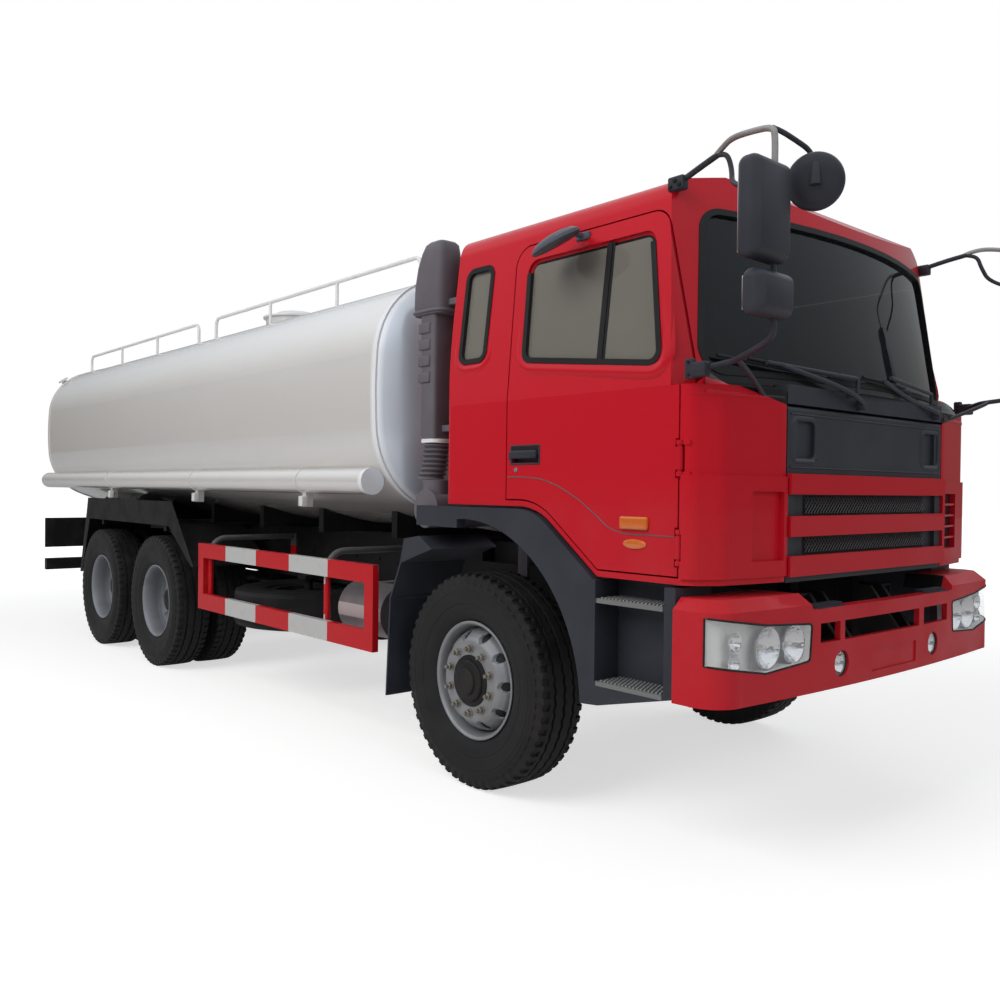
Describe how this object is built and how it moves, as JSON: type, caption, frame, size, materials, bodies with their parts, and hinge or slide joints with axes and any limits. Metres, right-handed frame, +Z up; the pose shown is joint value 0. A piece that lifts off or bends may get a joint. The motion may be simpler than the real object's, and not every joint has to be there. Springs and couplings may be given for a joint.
{
  "type": "three-axle tanker truck",
  "caption": "Three-axle tanker truck with a tilting cab-over cab, steering front wheels, twin rear wheels and a long rounded tank with a manhole.",
  "frame": {"origin": "middle of the truck's overall length and width, on the ground under the tyres", "axes": "+X forward, +Y to the truck's left, +Z up"},
  "size_m": [9.27, 2.93, 3.0748],
  "materials": {
    "cab_paint": "glossy",
    "cab_plastic": "glossy",
    "tank_paint": "glossy",
    "guard_paint": "satin",
    "black_steel": "satin",
    "black_plastic": "matte",
    "interior_plastic": "matte",
    "seal": "matte",
    "tyre": "matte",
    "rim": "satin",
    "bare_metal": "brushed",
    "step_metal": "brushed",
    "engine": "cast",
    "glass": "clear",
    "lamp_glass": "clear"
  },
  "bodies": {
    "chassis": {"chassis_frame": "black_steel", "tank": "tank_paint", "tank_rails": "bare_metal", "hose_tubes": "tank_paint", "side_guards": "guard_paint", "mudguards": "black_steel", "lower_mouldings": "black_plastic", "cab_steps": "step_metal", "exhaust": "bare_metal", "fuel_tank": "step_metal", "spare_wheel": "tyre", "front_bumper": "cab_plastic", "lamps": "lamp_glass", "engine_block": "engine", "front_axle": "black_steel", "rear_axles": "black_steel", "air_intake": "black_plastic"},
    "cab": {"cab_shell": "cab_paint", "cab_glass": "glass", "window_seals": "seal", "cowl": "black_plastic", "mirrors": "black_plastic", "cab_interior": "interior_plastic", "snorkel": "black_plastic"},
    "door_left": {"door_left": "cab_paint", "door_glass_left": "glass", "door_fittings_left": "black_plastic"},
    "door_right": {"door_right": "cab_paint", "door_glass_right": "glass", "door_fittings_right": "black_plastic"},
    "flap": {"flap_panel": "black_plastic", "flap_slats": "cab_plastic"},
    "steering_wheel": {"steering_wheel": "interior_plastic"},
    "manhole_lid": {"manhole_lid": "bare_metal"},
    "knuckle_left": {"knuckle_left": "black_steel"},
    "knuckle_right": {"knuckle_right": "black_steel"},
    "tie_rod": {"tie_rod": "black_steel"},
    "wheel_front_left": {"tyre_front_left": "tyre", "rim_front_left": "rim"},
    "wheel_front_right": {"tyre_front_right": "tyre", "rim_front_right": "rim"},
    "wheels_mid_left": {"tyres_mid_left": "tyre", "rims_mid_left": "rim"},
    "wheels_mid_right": {"tyres_mid_right": "tyre", "rims_mid_right": "rim"},
    "wheels_rear_left": {"tyres_rear_left": "tyre", "rims_rear_left": "rim"},
    "wheels_rear_right": {"tyres_rear_right": "tyre", "rims_rear_right": "rim"}
  },
  "joints": [
    {"name": "steer_left", "type": "hinge", "parent": "chassis", "child": "knuckle_left", "pos_m": [2.745, 0.85, 0.5425], "axis": [0, 0, 1], "range_deg": [-35, 35]},
    {"name": "steer_right", "type": "hinge", "parent": "chassis", "child": "knuckle_right", "pos_m": [2.745, -0.85, 0.5425], "axis": [0, 0, 1], "range_deg": [-35, 35]},
    {"name": "tie_rod_pivot", "type": "hinge", "parent": "knuckle_left", "child": "tie_rod", "pos_m": [2.545, 0.85, 0.4465], "axis": [0, 0, 1], "range_deg": [-35, 35]},
    {"name": "front_left_spin", "type": "hinge", "parent": "knuckle_left", "child": "wheel_front_left", "pos_m": [2.745, 1.04, 0.5425], "axis": [0, 1, 0], "continuous": true},
    {"name": "front_right_spin", "type": "hinge", "parent": "knuckle_right", "child": "wheel_front_right", "pos_m": [2.745, -1.04, 0.5425], "axis": [0, 1, 0], "continuous": true},
    {"name": "mid_left_spin", "type": "hinge", "parent": "chassis", "child": "wheels_mid_left", "pos_m": [-1.355, 0.933, 0.5425], "axis": [0, 1, 0], "continuous": true},
    {"name": "mid_right_spin", "type": "hinge", "parent": "chassis", "child": "wheels_mid_right", "pos_m": [-1.355, -0.933, 0.5425], "axis": [0, 1, 0], "continuous": true},
    {"name": "rear_left_spin", "type": "hinge", "parent": "chassis", "child": "wheels_rear_left", "pos_m": [-2.705, 0.933, 0.5425], "axis": [0, 1, 0], "continuous": true},
    {"name": "rear_right_spin", "type": "hinge", "parent": "chassis", "child": "wheels_rear_right", "pos_m": [-2.705, -0.933, 0.5425], "axis": [0, 1, 0], "continuous": true},
    {"name": "cab_tilt", "type": "hinge", "parent": "chassis", "child": "cab", "pos_m": [4.245, 0, 0.8], "axis": [0, 1, 0], "range_deg": [0, 50]},
    {"name": "door_left_swing", "type": "hinge", "parent": "cab", "child": "door_left", "pos_m": [4.065, 1.2, 1.93], "axis": [0, 0, -1], "range_deg": [0, 70]},
    {"name": "door_right_swing", "type": "hinge", "parent": "cab", "child": "door_right", "pos_m": [4.065, -1.2, 1.93], "axis": [0, 0, 1], "range_deg": [0, 70]},
    {"name": "flap_lift", "type": "hinge", "parent": "cab", "child": "flap", "pos_m": [4.217, 0, 1.852], "axis": [0, -1, 0], "range_deg": [0, 80]},
    {"name": "steering_turn", "type": "hinge", "parent": "cab", "child": "steering_wheel", "pos_m": [3.705, 0.64, 2.02], "axis": [-0.4695, 0, 0.8829], "range_deg": [-700, 700]},
    {"name": "lid_swing", "type": "hinge", "parent": "chassis", "child": "manhole_lid", "pos_m": [-1.255, 0.315, 3.0258], "axis": [-1, 0, 0], "range_deg": [0, 100]}
  ],
  "couplings": [
    {"joint": "steer_right", "follows": "steer_left", "ratio": 1},
    {"joint": "tie_rod_pivot", "follows": "steer_left", "ratio": -1},
    {"joint": "steering_turn", "follows": "steer_left", "ratio": 20}
  ]
}
